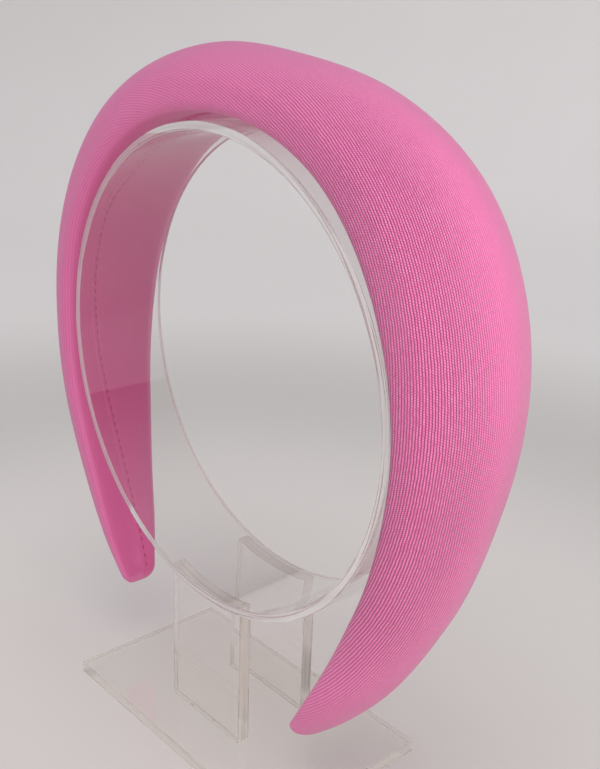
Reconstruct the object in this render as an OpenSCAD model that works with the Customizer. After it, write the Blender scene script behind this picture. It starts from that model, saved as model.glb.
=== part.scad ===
// A padded headband resting on a clear display stand. All lengths are in millimetres.
// The origin is the middle of the base plate's underside. Z is up, X runs from one leg of
// the band to the other, and Y runs through the ring from its front edge to its back edge.

/* [Ring] */
// Outer radius of the ring that the band sits on
ring_r = 60; // [52:1:66]
// Wall of the ring
ring_wall = 2.2; // [1.6:0.1:4]
// Length of the ring from its front edge to its back edge
ring_len = 26.5; // [22:0.5:32]
// Height of the ring's axis above the base plate
axis_h = 98; // [94:1:120]
// How far the ring sits to the right of the base plate's middle
ring_shift = 1.5; // [-3:0.5:3]

/* [Uprights] */
// Width of each upright
upright_w = 28.4; // [20:0.2:36]
// Thickness of the sheet that the uprights are cut from
upright_t = 3.5; // [2:0.1:5]
// How far the front upright stands in from the ring's front edge
front_inset = 1; // [0:0.1:3]
// How far the back upright stands in from the ring's back edge
back_inset = 0.2; // [0:0.1:3]

/* [Base plate] */
// Width of the base plate, along X
base_w = 85; // [70:1:110]
// Depth of the base plate, along Y
base_d = 49; // [40:1:70]
// Thickness of the base plate
base_t = 3.2; // [2:0.1:6]

/* [Band] */
// Length of the band from tip to tip, along its inner face
band_len = 367; // [350:1:372]
// Width of the band, front edge to back edge, where it is broadest
band_w = 33; // [27:0.5:38]
// Thickness of the padding where it is thickest
pad_t = 19.3; // [14:0.1:24]
// Length over which each tip is rounded off
tip_round = 4.5; // [2:0.5:7]
// Fullness of each tip from front to back: 2 is round, more is blunter
tip_power = 3; // [2:0.5:5]
// How far the crest of the padding leans to the back, for each millimetre of thickness
crest_lean = 0.18; // [0:0.02:0.2]
// Height of the band's widest line, as a share of its thickness
rim_share = 0.41; // [0.25:0.01:0.5]
// Fullness of the inner face: 2 is an ellipse, more is flatter
face_power = 5; // [3:0.5:6]
// Fullness of the padded side at its crest: 2 is an ellipse, less is more pointed
crest_power = 1.85; // [1.6:0.05:2.4]
// Fullness of the padded side at its rims
rim_power = 1.75; // [1.5:0.05:2.4]

/* [How the band sits] */
// Turn of the band on the ring, in degrees, right leg down
band_roll = 6; // [-6:0.5:8]
// Lean of the band's crown to the back, in degrees
band_lean = 1.8; // [0:0.1:5]
// How far the band sits forward of the ring's middle
band_forward = 1; // [0:0.5:3]

/* [Clearances] */
// Clearance between the band and the ring at its seat
seat_gap = 0.3; // [0.2:0.05:0.6]
// Cement line between the pieces of the stand
joint_gap = 0.1; // [0.05:0.05:0.2]

/* [Hidden] */
$fn = 120;

// Arcs of the inner face from the crown to a tip.
// Columns: length as a share of half the band, radius as a share of the ring's radius
ARCS = [
    [0.120, 1.180],
    [0.164, 0.845],
    [0.243, 1.135],
    [0.175, 1.670],
    [0.298, 6.000]
];
// Sections from the crown to a tip.
// Columns: place as a share of half the band, share of band_w, share of pad_t
SECTIONS = [
    [0.00, 0.88, 0.77],
    [0.12, 0.93, 0.87],
    [0.25, 1.00, 1.00],
    [0.36, 1.00, 0.97],
    [0.55, 0.92, 0.75],
    [0.70, 0.80, 0.72],
    [0.82, 0.64, 0.66],
    [0.92, 0.49, 0.48],
    [1.00, 0.30, 0.26]
];
PLACE_INDEX = 0;
WIDTH_INDEX = 1;
THICKNESS_INDEX = 2;

BODY_STEPS = 36;
TIP_STEPS = 4;
SIDES = 36;
// Last turn of the rounded tip, short of 90 degrees, so that it ends in a small flat
TIP_TURN = 80;

half_len = band_len / 2;
axis_z = base_t + axis_h;
// The inner face is straight from front to back, so a lean lifts its middle off the ring
lean_lift = (ring_len / 2 + band_forward) * sin(band_lean);
seat_h = (ring_r + seat_gap + lean_lift) / cos(band_lean);
front_y = -ring_len / 2 + front_inset;
back_y = ring_len / 2 - back_inset - upright_t;

// Point and turn of the inner face at distance s from the crown: [x, z, degrees]
function inner_face(s, k = 0, x = 0, z = 0, turn = 0) =
    let (
        last = k == len(ARCS) - 1,
        arc_len = ARCS[k][0] * half_len,
        r = ARCS[k][1] * ring_r,
        run = last ? s : min(s, arc_len),
        end = turn + run / r * 180 / PI,
        x_end = x + r * (sin(end) - sin(turn)),
        z_end = z + r * (cos(end) - cos(turn))
    )
    last || s <= arc_len
        ? [x_end, z_end, end]
        : inner_face(s - arc_len, k + 1, x_end, z_end, end);

// Slope of a column of SECTIONS at row k, level at the crown
function slope(k, col) =
    let (
        a = max(k - 1, 0),
        b = min(k + 1, len(SECTIONS) - 1)
    )
    k == 0 ? 0
        : (SECTIONS[b][col] - SECTIONS[a][col]) / (SECTIONS[b][PLACE_INDEX] - SECTIONS[a][PLACE_INDEX]);

// Row of SECTIONS that ends the stretch that holds place u
function row_after(u, k = 1) =
    k == len(SECTIONS) - 1 || u <= SECTIONS[k][PLACE_INDEX] ? k : row_after(u, k + 1);

// A column of SECTIONS at place u, on a smooth curve through its rows
function share(u, col) =
    let (
        k = row_after(u),
        span = SECTIONS[k][PLACE_INDEX] - SECTIONS[k - 1][PLACE_INDEX],
        t = (u - SECTIONS[k - 1][PLACE_INDEX]) / span,
        from = SECTIONS[k - 1][col],
        to = SECTIONS[k][col]
    )
    from * (1 + 2 * t) * pow(1 - t, 2)
        + to * pow(t, 2) * (3 - 2 * t)
        + span * slope(k - 1, col) * t * pow(1 - t, 2)
        - span * slope(k, col) * pow(t, 2) * (1 - t);

// Cosine or sine v, filled out to a superellipse of the given power
function filled(v, power) = sign(v) * pow(abs(v), 2 / power);

// One point of a section w wide and t thick: [across, out from the inner face]
function section_point(angle, w, t) =
    let (
        rim = rim_share * t,
        padded = angle < 180,
        across = filled(cos(angle), padded ? rim_power : face_power) * w / 2,
        out = padded
            ? rim + (t - rim) * filled(sin(angle), crest_power)
            : rim * (1 + filled(sin(angle), face_power))
    )
    [across + crest_lean * out, out];

// Ring of points at signed distance s from the crown, drawn in by shrink at the tips
function section_ring(s, shrink) =
    let (
        u = abs(s) / half_len,
        w = band_w * share(u, WIDTH_INDEX),
        t = pad_t * share(u, THICKNESS_INDEX),
        at = inner_face(abs(s)),
        hand = s < 0 ? -1 : 1,
        turn = hand * at[2]
    )
    [
        for (i = [0 : SIDES - 1])
            let (
                p = section_point(i * 360 / SIDES, w, t),
                across = p[0] * pow(shrink, 2 / tip_power),
                out = t / 2 + (p[1] - t / 2) * shrink
            )
            [hand * at[0] + out * sin(turn), across, at[1] + out * cos(turn)]
    ];

// Stations from the left tip to the right tip: [distance from the crown, shrink]
function stations() =
    let (
        body = half_len - tip_round,
        tip = [
            for (i = [1 : TIP_STEPS])
                let (a = TIP_TURN * i / TIP_STEPS)
                [body + tip_round * sin(a), cos(a)]
        ]
    )
    concat(
        [for (i = [TIP_STEPS - 1 : -1 : 0]) [-tip[i][0], tip[i][1]]],
        [for (i = [-BODY_STEPS : BODY_STEPS]) [body * i / BODY_STEPS, 1]],
        tip
    );

// Closed skin through a list of rings that have equally many points
module skin(rings) {
    n = len(rings[0]);
    last = len(rings) - 1;
    polyhedron(
        points = [for (ring = rings) each ring],
        faces = concat(
            [[for (i = [0 : n - 1]) i]],
            [
                for (k = [0 : last - 1], i = [0 : n - 1])
                    let (j = (i + 1) % n)
                    each [
                        [k * n + i, (k + 1) * n + i, (k + 1) * n + j],
                        [k * n + i, (k + 1) * n + j, k * n + j]
                    ]
            ],
            [[for (i = [n - 1 : -1 : 0]) last * n + i]]
        )
    );
}

// Foam band in its jersey cover
module padded_band() {
    color("hotpink")
        translate([ring_shift, -band_forward, axis_z])
            rotate([-band_lean, band_roll, 0])
                translate([0, 0, seat_h])
                    skin([for (st = stations()) section_ring(st[0], st[1])]);
}

// Short tube that stands in for the head
module display_ring() {
    color("gainsboro", 0.5)
        translate([ring_shift, 0, axis_z])
            rotate([90, 0, 0])
                rotate_extrude()
                    translate([ring_r - ring_wall, -ring_len / 2])
                        square([ring_wall, ring_len]);
}

// Plate under the ring, its front face at y and its top cut to the ring's curve
module upright(y) {
    reach = upright_w / 2 + abs(ring_shift);
    seat_r = ring_r + joint_gap;
    foot_z = base_t + joint_gap;
    top_z = axis_z - sqrt(pow(seat_r, 2) - pow(reach, 2));
    difference() {
        translate([-upright_w / 2, y, foot_z])
            cube([upright_w, upright_t, top_z - foot_z]);
        translate([ring_shift, y - 1, axis_z])
            rotate([-90, 0, 0])
                cylinder(h = upright_t + 2, r = seat_r);
    }
}

module front_upright() {
    color("lightgray", 0.5)
        upright(front_y);
}

module back_upright() {
    color("lightgray", 0.5)
        upright(back_y);
}

// Plate that stands on the table
module base_plate() {
    color("whitesmoke", 0.5)
        translate([-base_w / 2, -base_d / 2, 0])
            cube([base_w, base_d, base_t]);
}

padded_band();
display_ring();
front_upright();
back_upright();
base_plate();
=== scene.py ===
"""A padded jersey headband resting on a clear display stand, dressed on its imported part.

The band is one foam pad in a knitted cover, lapped and stitched along its inner face. The
stand is clear acrylic: a short ring, two uprights and a base plate. Lengths are in metres.
"""

import logging
import math
from dataclasses import dataclass
from enum import Enum
from typing import Any, Callable, Iterable

import bmesh
import bpy
import numpy as np
from mathutils import Matrix, Vector


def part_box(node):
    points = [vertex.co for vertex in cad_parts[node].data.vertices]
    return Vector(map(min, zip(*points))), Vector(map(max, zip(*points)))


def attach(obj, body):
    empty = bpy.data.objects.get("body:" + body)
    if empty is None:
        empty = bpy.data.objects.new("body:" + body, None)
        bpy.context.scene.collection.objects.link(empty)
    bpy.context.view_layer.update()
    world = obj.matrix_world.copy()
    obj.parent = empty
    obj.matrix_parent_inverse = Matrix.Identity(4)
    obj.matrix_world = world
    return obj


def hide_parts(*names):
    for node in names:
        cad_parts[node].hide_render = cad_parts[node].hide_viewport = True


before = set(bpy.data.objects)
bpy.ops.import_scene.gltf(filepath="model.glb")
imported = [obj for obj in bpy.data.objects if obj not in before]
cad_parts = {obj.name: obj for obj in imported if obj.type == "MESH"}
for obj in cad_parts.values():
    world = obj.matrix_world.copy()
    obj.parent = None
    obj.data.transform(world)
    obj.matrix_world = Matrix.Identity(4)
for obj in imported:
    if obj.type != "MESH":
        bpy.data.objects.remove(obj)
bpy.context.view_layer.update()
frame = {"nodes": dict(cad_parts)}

log = logging.getLogger("headband")

MM = 0.001
BODY = "root"
WEAVE_MAP = "weave"
DEPTH_MAP = "weave_depth"
# Pitch of the stitches, which the cover puckers at, and of the knit's wales on its weave map
STITCH_PITCH = 2.55 * MM
WALE_PITCH = 0.62 * MM

Colour = tuple[float, float, float]
Place = tuple[float, float, float]

WARM: Colour = (1.02, 1.0, 0.97)
COOL: Colour = (0.97, 0.985, 1.04)

# Heights of the knit's pattern from which the yarn begins to show, and shows fully
YARN_HEIGHTS = (0.25, 0.95)


class Graph:
    """A shader or geometry tree that is built one node at a time."""

    def __init__(self, tree: bpy.types.NodeTree) -> None:
        """Empties the tree and keeps it.

        Args:
            tree: the node tree to build in.
        """
        self.tree = tree
        tree.nodes.clear()

    def node(self, kind: str, inputs: dict | None = None, **settings: Any) -> bpy.types.Node:
        """Adds a node.

        Args:
            kind: the node's type name.
            inputs: values or sockets for its inputs, by name or by place.
            settings: the node's own properties.

        Returns:
            The new node.
        """
        made = self.tree.nodes.new(kind)
        for name, value in settings.items():
            setattr(made, name, value)
        for key, value in (inputs or {}).items():
            self.feed(made.inputs[key], value)
        return made

    def feed(self, target: bpy.types.NodeSocket, value: Any) -> None:
        """Links a socket to the target, or sets the target's own value.

        Args:
            target: the input socket.
            value: a socket, or a plain value.
        """
        if isinstance(value, bpy.types.NodeSocket):
            self.tree.links.new(value, target)
        elif target.type == "RGBA" and len(value) == 3:
            target.default_value = (*value, 1.0)
        else:
            target.default_value = value

    def math(self, operation: str, *values: Any, clamp: bool = False) -> bpy.types.NodeSocket:
        """Adds a Math node.

        Args:
            operation: the operation's name.
            values: one to three numbers or sockets.
            clamp: whether the result is kept from 0 to 1.

        Returns:
            The result's socket.
        """
        made = self.node(
            "ShaderNodeMath", dict(enumerate(values)), operation=operation, use_clamp=clamp
        )
        return made.outputs[0]

    def vector(self, operation: str, *values: Any) -> bpy.types.Node:
        """Adds a Vector Math node and returns it."""
        return self.node("ShaderNodeVectorMath", dict(enumerate(values)), operation=operation)

    def between(self, value: Any, low: float, high: float) -> bpy.types.NodeSocket:
        """Adds a smooth step of value that rises from 0 at low to 1 at high."""
        made = self.node(
            "ShaderNodeMapRange",
            {"Value": value, "From Min": low, "From Max": high},
            interpolation_type="SMOOTHSTEP",
        )
        return made.outputs["Result"]

    def spread(self, value: Any, low: Any, high: Any) -> bpy.types.NodeSocket:
        """Adds a linear map of value from 0 and 1 to low and high."""
        made = self.node("ShaderNodeMapRange", {"Value": value, "To Min": low, "To Max": high})
        return made.outputs["Result"]

    def noise(self, place: Any, scale: Any, detail: float, **more: float) -> bpy.types.NodeOutputs:
        """Adds a noise texture and returns its outputs."""
        inputs = {"Vector": place, "Scale": scale, "Detail": detail, **more}
        return self.node("ShaderNodeTexNoise", inputs).outputs

    def split(self, value: Any) -> bpy.types.NodeOutputs:
        """Adds a Separate XYZ node and returns its outputs."""
        return self.node("ShaderNodeSeparateXYZ", {"Vector": value}).outputs

    def combine(self, **parts: Any) -> bpy.types.NodeSocket:
        """Adds a Combine XYZ node and returns its vector."""
        return self.node("ShaderNodeCombineXYZ", parts).outputs[0]

    def bump(self, height: Any, distance: float, strength: float = 1.0) -> bpy.types.NodeSocket:
        """Adds a Bump node and returns its normal."""
        inputs = {"Strength": strength, "Distance": distance, "Height": height}
        return self.node("ShaderNodeBump", inputs).outputs[0]

    def mix(self, share: Any, first: bpy.types.Node, second: bpy.types.Node) -> bpy.types.Node:
        """Adds a mix of two shaders."""
        inputs = {0: share, 1: first.outputs[0], 2: second.outputs[0]}
        return self.node("ShaderNodeMixShader", inputs)

    def finish(self, shader: bpy.types.Node) -> None:
        """Adds the material's output, fed by a shader."""
        self.node("ShaderNodeOutputMaterial", {"Surface": shader.outputs[0]})

    def blend(self, factor: Any, first: Any, second: Any) -> bpy.types.NodeSocket:
        """Adds a colour mix.

        Args:
            factor: the share of the second colour.
            first: the first colour.
            second: the second colour.

        Returns:
            The mixed colour's socket.
        """
        made = self.node("ShaderNodeMix", data_type="RGBA")
        by_id = {s.identifier: s for s in made.inputs}
        self.feed(by_id["Factor_Float"], factor)
        self.feed(by_id["A_Color"], first)
        self.feed(by_id["B_Color"], second)
        return next(s for s in made.outputs if s.identifier == "Result_Color")


def shader_group(name: str, numbers: dict[str, float], outputs: tuple[str, ...]) -> Graph:
    """Makes an empty shader node group that reads coordinates and numbers.

    Args:
        name: the group's name.
        numbers: default values of its numbers, by socket name.
        outputs: names of the numbers that it puts out.

    Returns:
        The group's graph.
    """
    sockets = bpy.data.node_groups.new(name, "ShaderNodeTree").interface
    sockets.new_socket("Coordinates", in_out="INPUT", socket_type="NodeSocketVector")
    for label, value in numbers.items():
        socket = sockets.new_socket(label, in_out="INPUT", socket_type="NodeSocketFloat")
        socket.default_value = value
    for label in outputs:
        sockets.new_socket(label, in_out="OUTPUT", socket_type="NodeSocketFloat")
    return Graph(sockets.id_data)


def new_material(name: str) -> tuple[bpy.types.Material, Graph]:
    """Makes a material and the graph of its empty node tree."""
    made = bpy.data.materials.new(name)
    made.use_nodes = True
    return made, Graph(made.node_tree)


def add_object(name: str, data: bpy.types.ID) -> bpy.types.Object:
    """Makes an object in the scene."""
    made = bpy.data.objects.new(name, data)
    bpy.context.scene.collection.objects.link(made)
    return made


def knit_group(name: str = "Knit jersey") -> bpy.types.NodeTree:
    """Builds the effect of a plain knit: wales of V-shaped loops.

    Args:
        name: the group's name.

    Returns:
        The group, with the pattern's height, a mask of its raised yarn and a shade per loop.
    """
    graph = shader_group(
        name,
        {
            "Wale Pitch": 0.66 * MM,
            "Course Pitch": 0.5 * MM,
            "Slant": 0.9,
            "Stagger": 0.5,
            "Roundness": 0.5,
            "Wobble": 0.34 * MM,
            "Wobble Scale": 420.0,
            "Loop Depth": 0.32,
        },
        ("Height", "Yarn", "Shade"),
    )
    given = graph.node("NodeGroupInput").outputs
    wobble = graph.noise(given["Coordinates"], given["Wobble Scale"], 2.0)["Color"]
    wobble = graph.vector("SUBTRACT", wobble, (0.5, 0.5, 0.5)).outputs["Vector"]
    wobble = graph.node(
        "ShaderNodeVectorMath", {0: wobble, "Scale": given["Wobble"]}, operation="SCALE"
    ).outputs["Vector"]
    spot = graph.vector("ADD", given["Coordinates"], wobble).outputs["Vector"]
    place = graph.split(spot)
    wale = graph.math("DIVIDE", place["X"], given["Wale Pitch"])
    course = graph.math("DIVIDE", place["Y"], given["Course Pitch"])
    across = graph.math("SUBTRACT", graph.math("FRACT", wale), 0.5)
    side = graph.math("ABSOLUTE", across)
    ridge = graph.math("COSINE", graph.math("MULTIPLY", across, math.pi))
    ridge = graph.math("POWER", graph.math("MAXIMUM", ridge, 0.0), given["Roundness"])
    stagger = graph.math("MULTIPLY", graph.math("FLOOR", wale), given["Stagger"])
    run = graph.math("MULTIPLY_ADD", side, given["Slant"], graph.math("ADD", course, stagger))
    wave = graph.math("COSINE", graph.math("MULTIPLY", run, 2 * math.pi))
    loop = graph.math("MULTIPLY_ADD", wave, 0.5, 0.5)
    low = graph.math("SUBTRACT", 1.0, given["Loop Depth"])
    relief = graph.math("MULTIPLY_ADD", loop, given["Loop Depth"], low)
    height = graph.math("MULTIPLY", ridge, relief)
    cell = graph.combine(X=graph.math("FLOOR", wale), Y=graph.math("FLOOR", run))
    shade = graph.node("ShaderNodeTexWhiteNoise", {"Vector": cell}, noise_dimensions="2D")
    yarn = graph.between(height, *YARN_HEIGHTS)
    graph.node(
        "NodeGroupOutput", {"Height": height, "Yarn": yarn, "Shade": shade.outputs["Value"]}
    )
    return graph.tree


@dataclass(frozen=True)
class SheetMarks:
    """Marks of a used clear sheet: its sawn edges, chips and smears."""

    saw_pitch: float = 0.5 * MM
    # Of each noise: its scale, and the two values between which a mark comes up
    smear_scale: float = 60.0
    smear_detail: float = 3.0
    smear_values: tuple[float, float] = (0.5, 0.75)
    streak_scale: float = 45.0
    streak_detail: float = 2.0
    streak_values: tuple[float, float] = (0.45, 0.7)
    # How far a streak's noise moves on from the middle of the sheet to its face
    streak_shift: float = 0.045
    # Dark rims of a sawn edge: shares of half the sheet, and the smears that break them
    rim_places: tuple[float, float] = (0.78, 0.93)
    rim_values: tuple[float, float] = (0.36, 0.56)
    chip_scale: float = 95.0
    chip_sizes: tuple[float, float] = (0.05, 0.11)

    def group(self) -> bpy.types.NodeTree:
        """Builds the effect as a node group.

        Returns:
            The group, with masks of smears and of the edges' dark lines, and a height.
        """
        graph = shader_group(
            "Sheet marks",
            {"Edge": 0.0, "Across": 0.0, "Saw Pitch": self.saw_pitch, "Streaks": 0.5},
            ("Smears", "Lines", "Height"),
        )
        given = graph.node("NodeGroupInput").outputs
        spot = given["Coordinates"]
        smear = graph.noise(spot, self.smear_scale, self.smear_detail, Roughness=0.6)["Fac"]
        smears = graph.between(smear, *self.smear_values)
        # Streaks run along an edge: their noise changes fast across the sheet, slowly along it
        shift = graph.combine(X=graph.math("MULTIPLY", given["Across"], self.streak_shift))
        shifted = graph.vector("ADD", spot, shift).outputs["Vector"]
        streak = graph.noise(shifted, self.streak_scale, self.streak_detail)["Fac"]
        streaks_and_reflection = graph.between(streak, *self.streak_values)
        rim = graph.between(graph.math("ABSOLUTE", given["Across"]), *self.rim_places)
        rim = graph.math("MULTIPLY", rim, graph.between(smear, *self.rim_values))
        cells = graph.node("ShaderNodeTexVoronoi", {"Vector": spot, "Scale": self.chip_scale})
        chips = graph.between(cells.outputs["Distance"], *self.chip_sizes)
        chips = graph.math("SUBTRACT", 1.0, chips)
        lines = graph.math("MAXIMUM", graph.math("MULTIPLY", streaks_and_reflection, given["Streaks"]), rim)
        lines = graph.math("MAXIMUM", lines, chips)
        parts = graph.split(spot)
        slope = graph.math("ADD", graph.math("ADD", parts["X"], parts["Y"]), parts["Z"])
        turns = graph.math("MULTIPLY", slope, 2 * math.pi)
        turns = graph.math("DIVIDE", turns, given["Saw Pitch"])
        saw = graph.math("MULTIPLY", graph.math("SINE", turns), given["Edge"])
        height = graph.math("MULTIPLY_ADD", saw, 0.5, graph.math("MULTIPLY", smear, 0.5))
        graph.node("NodeGroupOutput", {"Smears": smears, "Lines": lines, "Height": height})
        return graph.tree


@dataclass(frozen=True)
class JerseyFinish:
    """Satin jersey: its pinks, its knit and its sheen."""

    # The grooves' darker pink is partly the knit's tone and partly painted shade between its wales
    raised: Colour = (0.86, 0.232, 0.50)
    grooves: Colour = (0.54, 0.046, 0.20)
    # Shadow between wales where the cloth is stretched open over the rim
    gaps: Colour = (0.20, 0.015, 0.09)
    gap_depth: float = 0.9
    # Painted shade on the inner face, where the knit is shallowest, and the knit's depths over
    # which it fades out
    inner_face_shade: float = 0.5
    inner_face_shade_depths: tuple[float, float] = (0.12, 0.24)
    # Uneven tone from loop to loop, and over the whole cover
    loop_tone: float = 0.2
    drift_tone: float = 0.12
    drift_scale: float = 28.0
    wale_pitch: float = WALE_PITCH
    course_pitch: float = 0.46 * MM
    mean_yarn: float = 0.62
    relief: float = 0.12 * MM
    groove_roughness: float = 0.62
    roughness: float = 0.5
    sheen: float = 0.22
    sheen_roughness: float = 0.55
    sheen_tint: Colour = (0.95, 0.93, 0.96)
    specular: float = 0.5

    def material(self, knit: bpy.types.NodeTree) -> bpy.types.Material:
        """Builds the cover's material.

        Args:
            knit: the knit node group.

        Returns:
            The material, which reads the piece's weave map.
        """
        made, graph = new_material("pink_jersey")
        pattern = graph.node("ShaderNodeGroup", node_tree=knit)
        weave = graph.node("ShaderNodeUVMap", uv_map=WEAVE_MAP).outputs["UV"]
        given = (weave, self.wale_pitch, self.course_pitch)
        for label, value in zip(("Coordinates", "Wale Pitch", "Course Pitch"), given):
            graph.feed(pattern.inputs[label], value)
        knitted = pattern.outputs
        place = graph.node("ShaderNodeTexCoord").outputs["Object"]
        drift = graph.noise(place, self.drift_scale, 2.0)["Fac"]
        depth = graph.node("ShaderNodeAttribute", attribute_name=DEPTH_MAP).outputs["Fac"]
        yarn = graph.math("SUBTRACT", knitted["Yarn"], self.mean_yarn)
        yarn = graph.math("MULTIPLY_ADD", yarn, depth, self.mean_yarn, clamp=True)
        colour = graph.blend(yarn, self.grooves, self.raised)
        opened_and_shaded = graph.math("SUBTRACT", depth, 1.0, clamp=True)
        opened_and_shaded = graph.math("MULTIPLY", opened_and_shaded, self.gap_depth)
        hollow = graph.math("SUBTRACT", 1.0, knitted["Yarn"])
        colour = graph.blend(graph.math("MULTIPLY", opened_and_shaded, hollow, clamp=True), colour, self.gaps)
        # Painted shade on the inner face, where the knit is shallowest
        slack = graph.math("SUBTRACT", 1.0, graph.between(depth, *self.inner_face_shade_depths))
        uneven = graph.math("MULTIPLY", knitted["Shade"], depth)
        tones = ((slack, self.inner_face_shade), (uneven, self.loop_tone), (drift, self.drift_tone))
        for mask, share in tones:
            colour = graph.blend(graph.math("MULTIPLY", mask, share), colour, self.grooves)
        height = graph.math("MULTIPLY", knitted["Height"], depth)
        shader = graph.node(
            "ShaderNodeBsdfPrincipled",
            {
                "Base Color": colour,
                "Roughness": graph.spread(knitted["Yarn"], self.groove_roughness, self.roughness),
                "Specular IOR Level": self.specular,
                "Sheen Weight": self.sheen,
                "Sheen Roughness": self.sheen_roughness,
                "Sheen Tint": self.sheen_tint,
                "Normal": graph.bump(height, self.relief),
            },
        )
        graph.finish(shader)
        return made


@dataclass(frozen=True)
class ThreadFinish:
    """Sewing thread in a deeper pink than the jersey, partly painted shade of its recess in the
    cloth.
    """

    colour: Colour = (0.46, 0.02, 0.13)
    dull: Colour = (0.34, 0.012, 0.085)
    twist: float = 0.25 * MM
    relief: float = 0.04 * MM
    relief_strength: float = 0.6
    roughness: float = 0.6
    sheen: float = 0.2

    def material(self) -> bpy.types.Material:
        """Builds the thread's material, with the twist of its plies."""
        made, graph = new_material("pink_thread")
        spot = graph.split(graph.node("ShaderNodeTexCoord").outputs["Object"])
        slope = graph.math("ADD", spot["Y"], spot["Z"])
        ply = graph.math("SINE", graph.math("MULTIPLY", slope, 2 * math.pi / self.twist))
        shade = graph.math("MULTIPLY_ADD", ply, 0.5, 0.5)
        shader = graph.node(
            "ShaderNodeBsdfPrincipled",
            {
                "Base Color": graph.blend(shade, self.dull, self.colour),
                "Roughness": self.roughness,
                "Sheen Weight": self.sheen,
                "Normal": graph.bump(shade, self.relief, self.relief_strength),
            },
        )
        graph.finish(shader)
        return made


class SawnEdges(Enum):
    """Which faces of a clear piece are sawn: an axis, whether they face it, and the cut."""

    RING_ENDS = ((0.0, 1.0, 0.0), True, "round")
    UPRIGHT_RIMS = ((0.0, 1.0, 0.0), False, "flat")
    PLATE_RIMS = ((0.0, 0.0, 1.0), False, "flat")


@dataclass(frozen=True)
class SheetShape:
    """Where the middle of a clear piece's sheet runs, to tell how far a point is across it."""

    edges: SawnEdges
    centre: Vector
    radius: float
    half: float

    @classmethod
    def of_node(cls, node: bpy.types.Object, edges: SawnEdges) -> "SheetShape":
        """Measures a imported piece.

        Args:
            node: the piece's object.
            edges: which of its faces are sawn.

        Returns:
            The shape.
        """
        places = np.array([node.matrix_world @ v.co for v in node.data.vertices])
        low, high = places.min(axis=0), places.max(axis=0)
        centre = (low + high) / 2
        axis, _, cut = edges.value
        if cut == "flat":
            return cls(edges, Vector(centre), 0.0, float(np.dot(high - low, axis)) / 2)
        out = np.linalg.norm((places - centre) * (1 - np.array(axis)), axis=1)
        return cls(
            edges, Vector(centre), float(out.max() + out.min()) / 2, float(np.ptp(out)) / 2
        )

    def sawn(self, graph: Graph, normal: bpy.types.NodeSocket) -> bpy.types.NodeSocket:
        """Adds the nodes that tell the sawn faces from the polished ones.

        Args:
            graph: the material's graph.
            normal: the surface's normal.

        Returns:
            1 on a sawn face and 0 on the others.
        """
        axis, along, _ = self.edges.value
        facing = graph.vector("DOT_PRODUCT", normal, axis).outputs["Value"]
        aligned = graph.between(graph.math("ABSOLUTE", facing), 0.6, 0.8)
        return aligned if along else graph.math("SUBTRACT", 1.0, aligned)

    def across(self, graph: Graph, place: bpy.types.NodeSocket) -> bpy.types.NodeSocket:
        """Adds the nodes that tell how far a point is across the sheet.

        Args:
            graph: the material's graph.
            place: the point's coordinates.

        Returns:
            -1 on one face of the sheet, 0 in its middle and 1 on its other face.
        """
        axis, _, cut = self.edges.value
        offset = graph.vector("SUBTRACT", place, tuple(self.centre)).outputs["Vector"]
        if cut == "flat":
            depth = graph.vector("DOT_PRODUCT", offset, axis).outputs["Value"]
        else:
            flat = tuple(1.0 - a for a in axis)
            offset = graph.vector("MULTIPLY", offset, flat).outputs["Vector"]
            out = graph.vector("LENGTH", offset).outputs["Value"]
            depth = graph.math("SUBTRACT", out, self.radius)
        return graph.math("DIVIDE", depth, self.half)


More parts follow.
